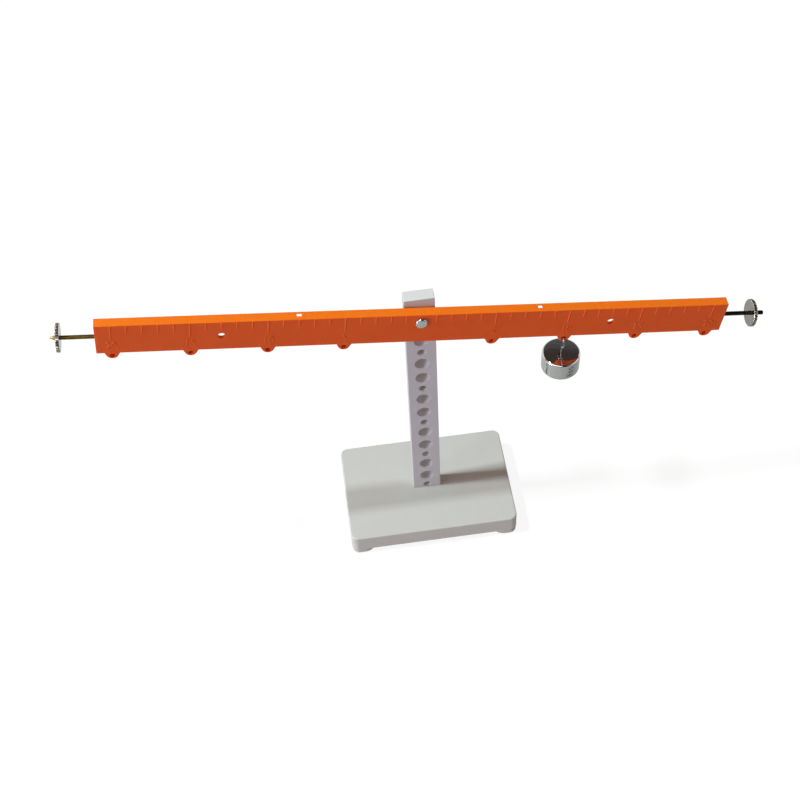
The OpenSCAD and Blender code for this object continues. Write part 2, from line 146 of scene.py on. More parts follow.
# Weight, measured from the eyelet that it hangs in, with its cross pin, its number and its hook
WEIGHT_R = 13.3
WEIGHT_TOP = -17.5
WEIGHT_H = 15.5
WEIGHT_BEVEL = 1.4
WEIGHT_CROWN = 0.45
RECESS_R = 9.0
RECESS_H = 8.5
RECESS_CORNER = 0.5
RECESS_MOUTH = 0.4
CROSS_PIN_R = 1.0
CROSS_PIN_HALF = 11.0
CROSS_PIN_EDGE = 0.2
CROSS_PIN_UP = 2.2
MARK_H = 5.0
MARK_DEPTH = 0.3
MARK_TURN = 18
MARK_SPACING = 1.3
MARK_CHAMFER = 0.01
MARK_MARGIN = 2.0
WIRE_R = 0.6
LOOP_R = 6.0
LOOP_UP = 0.4
LOOP_TAIL = math.radians(125)
BEND_R = 3.0
SHANK_IN = 5.0

# Pivot: headed pin, spacer, rear washer and hexagon nut
PIN_R = 2.5
PIN_PITCH = 0.8
PIN_HEAD_R = 4.0
PIN_HEAD_T = 1.8
PIN_HEAD_EDGE = 1.0
PIN_HEAD_BACK_EDGE = 0.2
PIN_HEAD_CROWN = 0.06
PIN_HEAD_GAP = 0.1
PIN_TAIL = 6.5
PIN_TAIL_IN = 0.5
PIN_TIP_R = 2.0
PIN_TIP = 0.6
SPACER_R = 5.0
SPACER_T = 0.4
SPACER_EDGE = 0.08
WASHER_R = 5.0
WASHER_T = 1.0
WASHER_EDGE = 0.15
HEXAGON_FLAT_R = 4.0
HEXAGON_T = 4.0
HEXAGON_CHAMFER = 0.15
HEXAGON_BORE_EDGE = 0.3

# Column
SMALL_HOLE_R = 2.65
LARGE_HOLE_R = 4.75
HOLE_PITCH = 38.8
PAIR_PITCH = 15.2
SMALL_HOLES = 6
HOLE_RIM = 0.6
HOLE_STEPS = 48
COLUMN_EDGE = 0.35

# Feet of the base: lift, lap and the wider round keep the solid's own feet inside the ones drawn here
FOOT_R = 9.3
FOOT_EDGE = 1.6
FOOT_H = 5.5
FOOT_ROOT = 0.5
FOOT_INSET = 0.3
FOOT_CORE_R = 6.7
FOOT_CORE_H = 40
FOOT_LIFT = 0.05
FOOT_LAP = 0.02
FOOT_WIDER_EDGE = 1.9
BASE_CORNER_R = 5.5

# Screws under the column and their washers
SCREW_R = 1.5
SCREW_TIP = 1.0
SCREW_TIP_R = 0.5
SCREW_HEAD_R = 3.0
SCREW_HEAD_H = 2.2
DOME_FLAT_R = 1.4
DOME_RISE = 0.05
DOME_EDGE = 1.2
DOME_SIDE = 1.3
CROSS_LONG = 3.2
CROSS_WIDE = 0.8
CROSS_DEPTH = 1.2
SCREW_WASHER_R = 3.5
SCREW_WASHER_EDGE = 0.1

# Making: play of a bore on its rod, reach of a cutter past its work, what is the same or near, what is sharp
CLEARANCE = 0.05
OVERSHOOT = 1.0
SAME = 0.001
NEAR = 0.05
SHARP = math.radians(35)

# Patterns: width of the clouds in plastic, of the worn spots on metal and of the thin spots in enamel
CLOUD_W = 14
WEAR_W = 4
ENAMEL_SPOT_W = 0.6

# Studio: linear colours of floor and world, as the object and as the eye meet them
FLOOR_BOUNCE = (0.58, 0.56, 0.58, 1)
FLOOR_SEEN = (0.13, 0.13, 0.13, 1)
FLOOR_GLOW = (0.9, 0.9, 0.9, 1)
FLOOR_HALF = 8.0
WORLD_LIGHT = (0.27, 0.21, 0.18, 1)
WORLD_SEEN = (1, 1, 1, 1)
LAMP_AIM = Vector((0, 0, 0.1))

# Camera of the photograph: place in millimetres, turn in degrees, lens in millimetres on a 36 mm frame
CAMERA_PLACE = (-63.3, -594.6, 869.9)
CAMERA_TURN = (38.675, 2.363, -7.442)
CAMERA_LENS = 60.2
SENSOR = 36.0

# Sockets of a Mix node that mixes colours
FACTOR, FIRST, SECOND = 0, 6, 7
MIXED = 2

# Turns of a shape that is made along Z
full_turn = 2 * math.pi
z_to_front = Matrix.Rotation(math.radians(90), 4, "X")
z_to_back = Matrix.Rotation(math.radians(-90), 4, "X")
z_to_left = Matrix.Rotation(math.radians(-90), 4, "Y")
z_to_right = Matrix.Rotation(math.radians(90), 4, "Y")
section_along_x = Matrix(((0, 0, 1, 0), (1, 0, 0, 0), (0, 1, 0, 0), (0, 0, 0, 1)))

# Places that the frame gives, for shapes made in millimetres
joints = {joint["name"]: joint for joint in frame["joints"]}
pivot = Vector(joints["lever_tilt"]["pos_m"])
hang = Vector(joints["weight_swing"]["pos_m"])
along = Vector(joints["right_nut_travel"]["axis"])
tilt = math.atan2(-along.z, along.x)
column_low, column_high = (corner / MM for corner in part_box("column"))
column_mid = (column_low + column_high) / 2
in_mm = Matrix.Scale(MM, 4)
beam_front = Matrix.Translation((0, -BEAM_T / 2 * MM, 0))
on_beam = Matrix.Translation(pivot) @ Matrix.Rotation(tilt, 4, "Y") @ beam_front @ in_mm
left_end = on_beam @ Matrix.Translation((-BEAM_HALF, BEAM_T / 2, STUD_Z)) @ z_to_left
right_end = on_beam @ Matrix.Translation((BEAM_HALF, BEAM_T / 2, STUD_Z)) @ z_to_right
on_hook = Matrix.Translation(hang) @ in_mm
on_pivot = Matrix.Translation((pivot.x, 0, pivot.z)) @ z_to_back @ in_mm


def linear(code):
    """An sRGB hex colour as linear RGBA."""
    parts = [int(code[i:i + 2], 16) / 255 for i in (1, 3, 5)]
    return [c / 12.92 if c <= 0.04045 else ((c + 0.055) / 1.055) ** 2.4 for c in parts] + [1.0]


def add(tree, kind, inputs=(), **settings):
    """Adds a node with its settings. An input is a constant, or another node's output to link."""
    node = tree.nodes.new(kind)
    for key, value in settings.items():
        setattr(node, key, value)
    for key, value in dict(inputs).items():
        if isinstance(value, bpy.types.NodeSocket):
            tree.links.new(value, node.inputs[key])
        else:
            node.inputs[key].default_value = value
    return node


def new_material(name):
    """A material with its node tree and its shader."""
    material = bpy.data.materials.new(name)
    material.use_nodes = True
    return material, material.node_tree, material.node_tree.nodes["Principled BSDF"]


def moulded_plastic(name, pale, deep, rough, grain, depth, gloss=0.5, upper=None, glow=0.0):
    """A moulded plastic: wide clouds in its colour and gloss, and the grain of its mould.

    A real mould's grain is about 0.05 mm wide, too fine to show, so it is drawn some ten times as coarse.
    upper is a paler pair of colours for the faces that look up, as painted light from above, and glow lets
    light into thin walls."""
    material, tree, shader = new_material(name)
    where = add(tree, "ShaderNodeTexCoord")
    place = where.outputs["Object"]
    cloud = add(tree, "ShaderNodeTexNoise", {"Vector": place, "Scale": 1 / (CLOUD_W * MM), "Detail": 4.0})
    pits = add(tree, "ShaderNodeTexNoise", {"Vector": place, "Scale": 1 / (grain * MM), "Detail": 2.0})
    tones = {FACTOR: cloud.outputs["Fac"], FIRST: linear(pale), SECOND: linear(deep)}
    shade = add(tree, "ShaderNodeMix", tones, data_type="RGBA")
    # Painted light from above: faces that look up take the paler pair of colours
    if upper:
        tones = {FACTOR: cloud.outputs["Fac"], FIRST: linear(upper[0]), SECOND: linear(upper[1])}
        painted_top_light = add(tree, "ShaderNodeMix", tones, data_type="RGBA")
        facing = add(tree, "ShaderNodeSeparateXYZ", {0: where.outputs["Normal"]})
        lift = {"Value": facing.outputs["Z"], "From Min": 0.3, "From Max": 0.95}
        rise = add(tree, "ShaderNodeMapRange", lift)
        tones = {FACTOR: rise.outputs["Result"], FIRST: shade.outputs[MIXED], SECOND: painted_top_light.outputs[MIXED]}
        shade = add(tree, "ShaderNodeMix", tones, data_type="RGBA")
    spread = {"Value": cloud.outputs["Fac"], "To Min": rough - 0.05, "To Max": rough + 0.05}
    sheen = add(tree, "ShaderNodeMapRange", spread)
    relief = {"Height": pits.outputs["Fac"], "Strength": 0.6, "Distance": depth * MM}
    bump = add(tree, "ShaderNodeBump", relief)
    tree.links.new(shade.outputs[MIXED], shader.inputs["Base Color"])
    tree.links.new(sheen.outputs["Result"], shader.inputs["Roughness"])
    tree.links.new(bump.outputs["Normal"], shader.inputs["Normal"])
    shader.inputs["Specular IOR Level"].default_value = gloss
    shader.inputs["Subsurface Weight"].default_value = glow
    shader.inputs["Subsurface Radius"].default_value = (1.0, 0.25, 0.1)
    shader.inputs["Subsurface Scale"].default_value = 2 * MM
    return material


def finished_metal(name, bright, dull, rough, grain, depth):
    """A metal with its surface finish: worn spots in its colour and polish, and working marks.

    Real working marks are about 0.03 mm wide, too fine to show, so grain draws them coarser."""
    material, tree, shader = new_material(name)
    place = add(tree, "ShaderNodeTexCoord").outputs["Object"]
    wear = add(tree, "ShaderNodeTexNoise", {"Vector": place, "Scale": 1 / (WEAR_W * MM), "Detail": 5.0})
    marks = add(tree, "ShaderNodeTexNoise", {"Vector": place, "Scale": 1 / (grain * MM), "Detail": 2.0})
    tones = {FACTOR: wear.outputs["Fac"], FIRST: linear(bright), SECOND: linear(dull)}
    shade = add(tree, "ShaderNodeMix", tones, data_type="RGBA")
    spread = {"Value": wear.outputs["Fac"], "To Min": rough * 0.6, "To Max": rough * 1.4}
    polish = add(tree, "ShaderNodeMapRange", spread)
    relief = {"Height": marks.outputs["Fac"], "Strength": 0.4, "Distance": depth * MM}
    bump = add(tree, "ShaderNodeBump", relief)
    tree.links.new(shade.outputs[MIXED], shader.inputs["Base Color"])
    tree.links.new(polish.outputs["Result"], shader.inputs["Roughness"])
    tree.links.new(bump.outputs["Normal"], shader.inputs["Normal"])
    shader.inputs["Metallic"].default_value = 1.0
    return material


# ABS moulded in a matt tool: a pale grey that scatters light evenly, with hardly any shine
base_abs = moulded_plastic("grey_moulded_abs", "#CDCEC9", "#C7C8C3", rough=0.5, grain=0.5, depth=0.012,
                           gloss=0.3)
# ABS moulded in a smoother tool: a cool white with a soft sheen, and painted light makes the faces that look
# up paler
column_abs = moulded_plastic("white_moulded_abs", "#CBCBD1", "#C5C5CB", rough=0.45, grain=0.6, depth=0.01,
                             gloss=0.3, upper=("#DCDDDB", "#D7D8D6"))
# ABS coloured through and moulded thin: a strong orange that light enters a little, and painted light makes
# its top yellower
orange_abs = moulded_plastic("orange_moulded_abs", "#EC6222", "#E75D1F", rough=0.42, grain=0.5, depth=0.012,
                             gloss=0.15, upper=("#FA7D1A", "#F67816"), glow=0.25)
# Nylon moulded plain: a milky white with a waxy sheen
nylon = moulded_plastic("natural_moulded_nylon", "#EDEBE4", "#E2E0D8", rough=0.5, grain=0.4, depth=0.01)
# Steel polished by hand and chrome plated: a clear mirror, bent a little by the polishing's 3 mm waves
chrome = finished_metal("chrome_plated_steel", "#D9DAD9", "#C8C9C8", rough=0.08, grain=3.0, depth=0.16)
# Steel turned and nickel plated: a warm grey mirror that blurs what it shows
nickel = finished_metal("nickel_plated_steel", "#BAB4AB", "#A29C93", rough=0.16, grain=0.5, depth=0.006)
# Steel turned bright and left bare: a cool mirror that blurs what it shows
bright_steel = finished_metal("bright_turned_steel", "#CDD0D3", "#B8BCC0", rough=0.16, grain=0.6,
                              depth=0.005)
# Spring steel drawn to wire: a darker grey mirror with a slight blur
hook_steel = finished_metal("drawn_spring_steel", "#9A9B9C", "#77787A", rough=0.18, grain=0.6, depth=0.005)
# Steel with clear zinc plating: a pale metal with a satin shine
zinc = finished_metal("zinc_plated_steel", "#C6C8CA", "#AEB1B4", rough=0.28, grain=0.5, depth=0.006)
# Steel with zinc plating passivated yellow: a dull brass colour with a satin shine
yellow_zinc = finished_metal("yellow_zinc_plated_steel", "#AA9650", "#826F36", rough=0.32, grain=0.5,
                             depth=0.006)
# Steel blackened in an oxide bath: almost black, with a satin shine along its threads
dark_steel = finished_metal("black_oxide_steel", "#54504C", "#34312E", rough=0.28, grain=0.5, depth=0.006)
# Enamel wiped into an engraving: a matt black, greyer in the spots where it was wiped thin
enamel, enamel_tree, enamel_shader = new_material("wiped_black_enamel")
enamel_place = add(enamel_tree, "ShaderNodeTexCoord").outputs["Object"]
thin = add(enamel_tree, "ShaderNodeTexNoise", {"Vector": enamel_place, "Scale": 1 / (ENAMEL_SPOT_W * MM)})
tones = {FACTOR: thin.outputs["Fac"], FIRST: linear("#1E1F1F"), SECOND: linear("#3A3B3B")}
shade = add(enamel_tree, "ShaderNodeMix", tones, data_type="RGBA")
enamel_tree.links.new(shade.outputs[MIXED], enamel_shader.inputs["Base Color"])


def shown(name, bm, material):
    """Turns a bmesh into an object of the scene."""
    mesh = bpy.data.meshes.new(name)
    bm.to_mesh(mesh)
    bm.free()
    mesh.materials.append(material)
    obj = bpy.data.objects.new(name, mesh)
    scene.collection.objects.link(obj)
    return obj


def piece(name, bm, place, body, material, nodes=()):
    """Turns a bmesh into a finished piece in its place, riding on a body of the frame."""
    bm.transform(place)
    obj = shown(name, bm, material)
    obj.data.shade_smooth()
    obj.data.set_sharp_from_angle(angle=SHARP)
    flat = obj.modifiers.new("flat_faces", "WEIGHTED_NORMAL")
    flat.keep_sharp = True
    flat.weight = 100
    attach(obj, body)
    if nodes:
        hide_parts(*nodes)
    return obj


def of_kind(geometry, kind):
    """The vertices or the edges in what an operator gives back."""
    return [item for item in geometry if isinstance(item, kind)]


def round_edges(bm, edges, size, segments=2):
    """Rounds the given edges."""
    bmesh.ops.bevel(bm, geom=list(edges), offset=size, offset_type="OFFSET", affect="EDGES",
                    segments=segments, profile=0.5, clamp_overlap=True, material=-1)


def merged_copy(node):
    """A merged copy of a CAD node's mesh, in millimetres."""
    bm = bmesh.new()
    bm.from_mesh(frame["nodes"][node].data)
    bm.transform(in_mm.inverted())
    bmesh.ops.remove_doubles(bm, verts=bm.verts, dist=2 * SAME)
    bmesh.ops.dissolve_limit(bm, angle_limit=math.radians(0.5), verts=bm.verts, edges=bm.edges)
    return bm


def arc(x, z, r, start, end, steps=4):
    """Points round (x, z), from one angle to another in degrees."""
    angles = [math.radians(start + (end - start) * i / steps) for i in range(steps + 1)]
    return [(x + r * math.cos(a), z + r * math.sin(a)) for a in angles]


def turned(profile, steps=64, closed=False):
    """A body of revolution about Z, in millimetres, from points of radius and height."""
    bm = bmesh.new()
    verts = [bm.verts.new((r, 0, z)) for r, z in profile]
    edges = [bm.edges.new(pair) for pair in zip(verts, verts[1:])]
    if closed:
        edges.append(bm.edges.new((verts[-1], verts[0])))
    bmesh.ops.spin(bm, geom=verts + edges, cent=(0, 0, 0), axis=(0, 0, 1),
                   angle=full_turn, steps=steps, use_merge=True)
    bmesh.ops.remove_doubles(bm, verts=bm.verts, dist=SAME)
    bmesh.ops.recalc_face_normals(bm, faces=bm.faces)
    return bm


def ring(inner, outer, low, high, edge, steps=64):
    """A flat ring about Z with bevelled edges."""
    return turned([(inner + edge, low), (outer - edge, low), (outer, low + edge), (outer, high - edge),
                   (outer - edge, high), (inner + edge, high), (inner, high - edge), (inner, low + edge)],
                  steps, closed=True)


def slice_at(bm, point, normal, clear_outer=False):
    """Cuts every face along a plane, and clears away what lies past it where that is asked for."""
    whole = list(bm.verts) + list(bm.edges) + list(bm.faces)
    bmesh.ops.bisect_plane(bm, geom=whole, plane_co=point, plane_no=normal, clear_outer=clear_outer)


def threaded(low, high, r, pitch, tip_r, tip, sides=18):
    """A threaded rod along Z with flat ends, its far end drawn in to a tip."""
    bm = bmesh.new()
    root = r - THREAD_DEPTH * pitch
    rise, fall = THREAD_CREST
    profile = [(root, 0.0), (r, rise * pitch), (r, fall * pitch), (root, pitch)]
    verts = [bm.verts.new((x, 0, low - pitch + z)) for x, z in profile]
    edges = [bm.edges.new(pair) for pair in zip(verts, verts[1:])]
    turns = math.ceil((high - low) / pitch) + 1
    bmesh.ops.spin(bm, geom=verts + edges, cent=(0, 0, 0), axis=(0, 0, 1), dvec=(0, 0, pitch / sides),
                   angle=full_turn * turns, steps=sides * turns)
    bmesh.ops.remove_doubles(bm, verts=bm.verts, dist=SAME)
    for level, side in ((low, -1), (high, 1)):
        slice_at(bm, (0, 0, level), (0, 0, side), clear_outer=True)
    for v in bm.verts:
        reach = math.hypot(v.co.x, v.co.y)
        limit = tip_r + (r - tip_r) * (high - v.co.z) / tip
        if reach > limit:
            v.co.x *= limit / reach
            v.co.y *= limit / reach
    bmesh.ops.holes_fill(bm, edges=[e for e in bm.edges if e.is_boundary])
    bmesh.ops.recalc_face_normals(bm, faces=bm.faces)
    return bm


def join(*parts):
    """Several bmeshes as one."""
    whole = bmesh.new()
    for part in parts:
        mesh = bpy.data.meshes.new("part")
        part.to_mesh(mesh)
        part.free()
        whole.from_mesh(mesh)
        bpy.data.meshes.remove(mesh)
    return whole


def carve(body, tool, operation="DIFFERENCE"):
    """A bmesh with another cut out of it, or added to it."""
    made = []
    for bm in (body, tool):
        mesh = bpy.data.meshes.new("blank")
        bm.to_mesh(mesh)
        bm.free()
        obj = bpy.data.objects.new("blank", mesh)
        scene.collection.objects.link(obj)
        made.append(obj)
    cut = made[0].modifiers.new("cut", "BOOLEAN")
    cut.operation = operation
    cut.solver = "EXACT"
    cut.use_self = True
    cut.object = made[1]
    result = bpy.data.meshes.new_from_object(made[0].evaluated_get(bpy.context.evaluated_depsgraph_get()))
    for obj in made:
        bpy.data.objects.remove(obj)
    bm = bmesh.new()
    bm.from_mesh(result)
    bpy.data.meshes.remove(result)
    bmesh.ops.remove_doubles(bm, verts=bm.verts, dist=SAME)
    return bm


def block(low, high):
    """A plain block between two corners."""
    bm = bmesh.new()
    bmesh.ops.create_cube(bm, size=1)
    bmesh.ops.scale(bm, vec=Vector(high) - Vector(low), verts=bm.verts)
    bmesh.ops.translate(bm, vec=(Vector(low) + Vector(high)) / 2, verts=bm.verts)
    return bm


def prism(outline, low, high):
    """A prism along Z from an outline in X and Y."""
    bm = bmesh.new()
    face = bm.faces.new([bm.verts.new((x, y, low)) for x, y in outline])
    top = bmesh.ops.extrude_face_region(bm, geom=[face])["geom"]
    bmesh.ops.translate(bm, vec=(0, 0, high - low), verts=of_kind(top, bmesh.types.BMVert))
    bmesh.ops.recalc_face_normals(bm, faces=bm.faces)
    return bm


def edges_along(bm, axis):
    """The edges that run along X, Y or Z, given as 0, 1 or 2."""
    across = [i for i in range(3) if i != axis]
    return [e for e in bm.edges if all(abs(e.verts[0].co[i] - e.verts[1].co[i]) < SAME for i in across)]


def edges_in(bm, axis, level):
    """The edges that lie in a plane square to X, Y or Z."""
    return [e for e in bm.edges if all(abs(v.co[axis] - level) < SAME for v in e.verts)]


def drill(r, low, high, front_rim, back_rim, steps=40):
    """A cutter along Y for a round hole, with rounded rims at its two ends."""
    profile = [(0, low - OVERSHOOT), (r + front_rim, low - OVERSHOOT)]
    profile += arc(r + front_rim, low + front_rim, front_rim, -90, -180, 3)
    profile += arc(r + back_rim, high - back_rim, back_rim, 180, 90, 3)
    bm = turned(profile + [(r + back_rim, high + OVERSHOOT), (0, high + OVERSHOOT)], steps)
    bm.transform(z_to_back)
    return bm


def post(r, length, segments=48):
    """A round post along Z, about the origin."""
    bm = bmesh.new()
    bmesh.ops.create_cone(bm, cap_ends=True, segments=segments, radius1=r, radius2=r, depth=length)
    return bm


def post_along_y(r, low, high):
    """A round post along Y."""
    bm = post(r, high - low)
    bm.transform(Matrix.Translation((0, (low + high) / 2, 0)) @ z_to_front)
    return bm


def moved(bm, x=0, y=0, z=0):
    """The same bmesh in another place."""
    bmesh.ops.translate(bm, vec=(x, y, z), verts=bm.verts)
    return bm


def numeral(text, height, depth, squeeze, chamfer, spacing=1.0, swell=0.0):
    """A chamfered number about its middle, that faces -Y and reaches from -depth to depth.

    Its chamfer and swell are shares of the type's size before it is scaled to the height."""
    curve = bpy.data.curves.new("numeral", "FONT")
    curve.body = text
    curve.align_x = "CENTER"
    curve.extrude = NUMERAL_WALL * chamfer
    curve.bevel_depth = chamfer
    curve.bevel_resolution = 0
    curve.offset = swell - chamfer
    curve.space_character = spacing
    obj = bpy.data.objects.new("numeral", curve)
    scene.collection.objects.link(obj)
    mesh = bpy.data.meshes.new_from_object(obj.evaluated_get(bpy.context.evaluated_depsgraph_get()))
    bpy.data.objects.remove(obj)
    bm = bmesh.new()
    bm.from_mesh(mesh)
    bpy.data.meshes.remove(mesh)
    bmesh.ops.remove_doubles(bm, verts=bm.verts, dist=1e-5)
    bmesh.ops.recalc_face_normals(bm, faces=bm.faces)
    low = min(v.co.y for v in bm.verts)
    high = max(v.co.y for v in bm.verts)
    size = height / (high - low)
    thick = depth / ((1 + NUMERAL_WALL) * chamfer)
    bm.transform(Matrix.Translation((0, -(low + high) / 2, 0)))
    bm.transform(Matrix.Diagonal((size * squeeze, size, thick, 1)))
    bm.transform(z_to_front)
    return bm


def balance_nut(at):
    """A thin disc nut with a grooved rim, on Z."""
    half = NUT_T / 2
    bm = ring(STUD_R + CLEARANCE, NUT_R, at - half, at + half, NUT_EDGE, NUT_GROOVES * GROOVE_STEPS)
    middle = NUT_R + GROOVE_OUT
    for v in bm.verts:
        reach = math.hypot(v.co.x, v.co.y)
        if reach < NUT_R / 2:
            continue
        turn = math.atan2(v.co.y, v.co.x) % (full_turn / NUT_GROOVES) - math.pi / NUT_GROOVES
        off = middle * math.sin(turn)
        if abs(off) < GROOVE_R:
            cut = NUT_R - (middle * math.cos(turn) - math.sqrt(GROOVE_R ** 2 - off ** 2))
            if cut > 0:
                v.co.x *= (reach - cut) / reach
                v.co.y *= (reach - cut) / reach
    return bm


def hexagon_nut(low, high, flat_r, bore_r, per_side=8):
    """A hexagon nut on Z: a ring whose outer wall is pushed out to six flats, under a turned chamfer."""
    mouth_r = bore_r + HEXAGON_BORE_EDGE
    face_r = flat_r - HEXAGON_CHAMFER
    bm = turned([(bore_r, low + HEXAGON_BORE_EDGE), (mouth_r, low), (face_r, low), (flat_r, low),
                 (flat_r, high), (face_r, high), (mouth_r, high), (bore_r, high - HEXAGON_BORE_EDGE)],
                6 * per_side, closed=True)
    for v in bm.verts:
        reach = math.hypot(v.co.x, v.co.y)
        if reach < flat_r - NEAR:
            continue
        turn = (math.atan2(v.co.y, v.co.x) + math.pi / 6) % (math.pi / 3) - math.pi / 6
        grow = 1 / math.cos(turn)
        drop = (flat_r * grow - face_r) * math.tan(math.radians(30))
        v.co.x *= grow
        v.co.y *= grow
        v.co.z += drop if abs(v.co.z - low) < NEAR else -drop
    return bm


# Base: the moulding, its feet filled out to the corners of the wall
base = merged_copy("base_shell")
base_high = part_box("base_shell")[1] / MM
foot_x = base_high.x - FOOT_R - FOOT_INSET
foot_y = base_high.y - FOOT_R - FOOT_INSET


def on_foot_wall(v):
    """Whether a vertex lies on the outer wall of a foot."""
    return abs(math.hypot(abs(v.co.x) - foot_x, abs(v.co.y) - foot_y) - FOOT_R) < NEAR


soles = [v for v in base.verts if v.co.z < NEAR]
bmesh.ops.translate(base, vec=(0, 0, FOOT_LIFT), verts=soles)
foot_rims = [e for e in edges_in(base, 2, FOOT_LIFT) if all(on_foot_wall(v) for v in e.verts)]
round_edges(base, foot_rims, FOOT_WIDER_EDGE)
corner_at = FOOT_R + FOOT_INSET - BASE_CORNER_R
foot_outline = arc(0, 0, FOOT_R + FOOT_LAP, 90, 360, 36)
foot_outline += arc(corner_at, corner_at, BASE_CORNER_R - FOOT_INSET + FOOT_LAP, 0, 90, 8)
feet = []
for quarter, (across, deep) in enumerate(((1, 1), (-1, 1), (-1, -1), (1, -1))):
    foot = prism(foot_outline, 0, FOOT_H + FOOT_ROOT)
    round_edges(foot, edges_in(foot, 2, 0), FOOT_EDGE, 6)
    foot = carve(foot, post(FOOT_CORE_R - FOOT_LAP, FOOT_CORE_H))
    foot.transform(Matrix.Rotation(quarter * math.pi / 2, 4, "Z"))
    feet.append(moved(foot, across * foot_x, deep * foot_y))
base = carve(base, join(*feet), "UNION")
piece("base_moulding", base, in_mm, "stand", base_abs, ["base_shell"])

# Column: a bar with soft-rimmed holes, its faces cut between the holes so that each holds one
bar = block(column_low, column_high)
round_edges(bar, edges_along(bar, 2) + edges_in(bar, 2, column_high.z), COLUMN_EDGE)
holes = []
for row in range(SMALL_HOLES):
    z = pivot.z / MM - row * HOLE_PITCH
    holes.append((z, SMALL_HOLE_R))
    if row:
        middle = z + HOLE_PITCH / 2
        holes += [(middle - PAIR_PITCH / 2, LARGE_HOLE_R), (middle + PAIR_PITCH / 2, LARGE_HOLE_R)]
holes.sort()
for (low, low_r), (high, high_r) in zip(holes, holes[1:]):
    slice_at(bar, (0, 0, (low + low_r + high - high_r) / 2), (0, 0, 1))
drills = []
for z, r in holes:
    hole = drill(r, column_low.y, column_high.y, HOLE_RIM, HOLE_RIM, HOLE_STEPS)
    drills.append(moved(hole, column_mid.x, 0, z))
bar = carve(bar, join(*drills))
piece("column_bar", bar, in_mm, "stand", column_abs, ["column"])

# Beam: a channel moulding with ribs, hub, end blocks, lugs and a raised scale
section = arc(BEAM_EDGE, BEAM_TOP - BEAM_EDGE, BEAM_EDGE, 90, 180)
section += arc(BEAM_EDGE, BEAM_BOTTOM + BEAM_EDGE, BEAM_EDGE, 180, 270)
section += arc(BEAM_T - BEAM_BACK_EDGE, BEAM_BOTTOM + BEAM_BACK_EDGE, BEAM_BACK_EDGE, 270, 360, 2)
section += arc(BEAM_T - BEAM_BACK_EDGE, BEAM_TOP - BEAM_BACK_EDGE, BEAM_BACK_EDGE, 0, 90, 2)
beam = prism(section, -BEAM_HALF, BEAM_HALF)
round_edges(beam, edges_in(beam, 2, -BEAM_HALF) + edges_in(beam, 2, BEAM_HALF), BEAM_BACK_EDGE)
beam.transform(section_along_x)
lug_mid = BEAM_BOTTOM - LUG_DROP + LUG_R
lug_rise = BEAM_BOTTOM - lug_mid
lug_reach = math.hypot(LUG_HALF_W, lug_rise)
lug_side = math.degrees(math.atan2(lug_rise, LUG_HALF_W) - math.acos(LUG_R / lug_reach))
lug_root = BEAM_BOTTOM + FLANGE_T / 2
lug_outline = [(LUG_HALF_W, lug_root), (-LUG_HALF_W, lug_root), (-LUG_HALF_W, BEAM_BOTTOM)]
lug_outline += arc(0, lug_mid, LUG_R, 180 - lug_side, 360 + lug_side, 20) + [(LUG_HALF_W, BEAM_BOTTOM)]
ridge = [(-TICK_W / 2, TICK_ROOT), (-TICK_W / 2, 0), (-TICK_TOP_W / 2, -TICK_RISE),
         (TICK_TOP_W / 2, -TICK_RISE), (TICK_W / 2, 0), (TICK_W / 2, TICK_ROOT)]
slot_back = SLOT_FROM + SLOT_D
slot_floor = BEAM_TOP - FLANGE_T
slot_outline = [(SLOT_FROM, slot_floor - OVERSHOOT), (slot_back + SLOT_UNDERCUT, slot_floor - OVERSHOOT),
                (slot_back + SLOT_UNDERCUT, slot_floor), (slot_back, BEAM_TOP),
                (slot_back, BEAM_TOP + OVERSHOOT), (SLOT_FROM, BEAM_TOP + OVERSHOOT)]
added = []
cutters = []
for side in (-1, 1):
    for i in range(1, GRADS + 1):
        has_lug = i % LUG_EVERY == 0
        tick = prism(ridge, BEAM_TOP - (TICK_LONG if has_lug else TICK_SHORT), BEAM_TOP - BEAM_EDGE)
        added.append(moved(tick, side * i * GRAD))
        if has_lug:
            lug = prism(lug_outline, -BEAM_T, 0)
            round_edges(lug, edges_in(lug, 2, 0) + edges_in(lug, 2, -BEAM_T), LUG_EDGE)
            lug.transform(z_to_front)
            added.append(moved(lug, side * i * GRAD))
            eyelet = drill(EYELET_R, 0, BEAM_T, EYELET_RIM, EYELET_RIM)
            cutters.append(moved(eyelet, side * i * GRAD, 0, EYELET_Z))
    spare = drill(SPARE_R, 0, SPARE_BOSS_T, SPARE_FRONT_RIM, SPARE_BACK_RIM)
    cutters.append(moved(spare, side * SPARE_AT, 0, STUD_Z))
    slot = prism(slot_outline, -SLOT_W / 2, SLOT_W / 2)
    slot.transform(section_along_x)
    cutters.append(moved(slot, side * SLOT_AT))
stops = [-BEAM_HALF + END_BLOCK]
for x in BEAM_RIBS:
    stops += [x - BEAM_RIB_T / 2, x + BEAM_RIB_T / 2]
stops.append(BEAM_HALF - END_BLOCK)
for low, high in zip(stops[::2], stops[1::2]):
    cell = block((low, BEAM_FRONT_T, BEAM_BOTTOM + FLANGE_T),
                 (high, BEAM_T + OVERSHOOT, BEAM_TOP - FLANGE_T))
    round_edges(cell, edges_along(cell, 1), CELL_CORNER, 3)
    round_edges(cell, edges_in(cell, 1, BEAM_FRONT_T), CELL_FLOOR_EDGE)
    if low < 0 < high:
        cell = carve(cell, post_along_y(HUB_R, -BEAM_T, 2 * BEAM_T))
    if low < SPARE_AT < high or low < -SPARE_AT < high:
        boss = post_along_y(SPARE_BOSS_R, 0, SPARE_BOSS_T)
        cell = carve(cell, moved(boss, math.copysign(SPARE_AT, low), 0, STUD_Z))
    cutters.append(cell)
cutters.append(drill(PIN_R + CLEARANCE, 0, BEAM_T, PIVOT_RIM, PIVOT_RIM))
beam = carve(beam, join(*added), "UNION")
beam = carve(beam, join(*cutters))
piece("beam_moulding", beam, on_beam, "lever", orange_abs, ["lever_beam"])
numerals = []
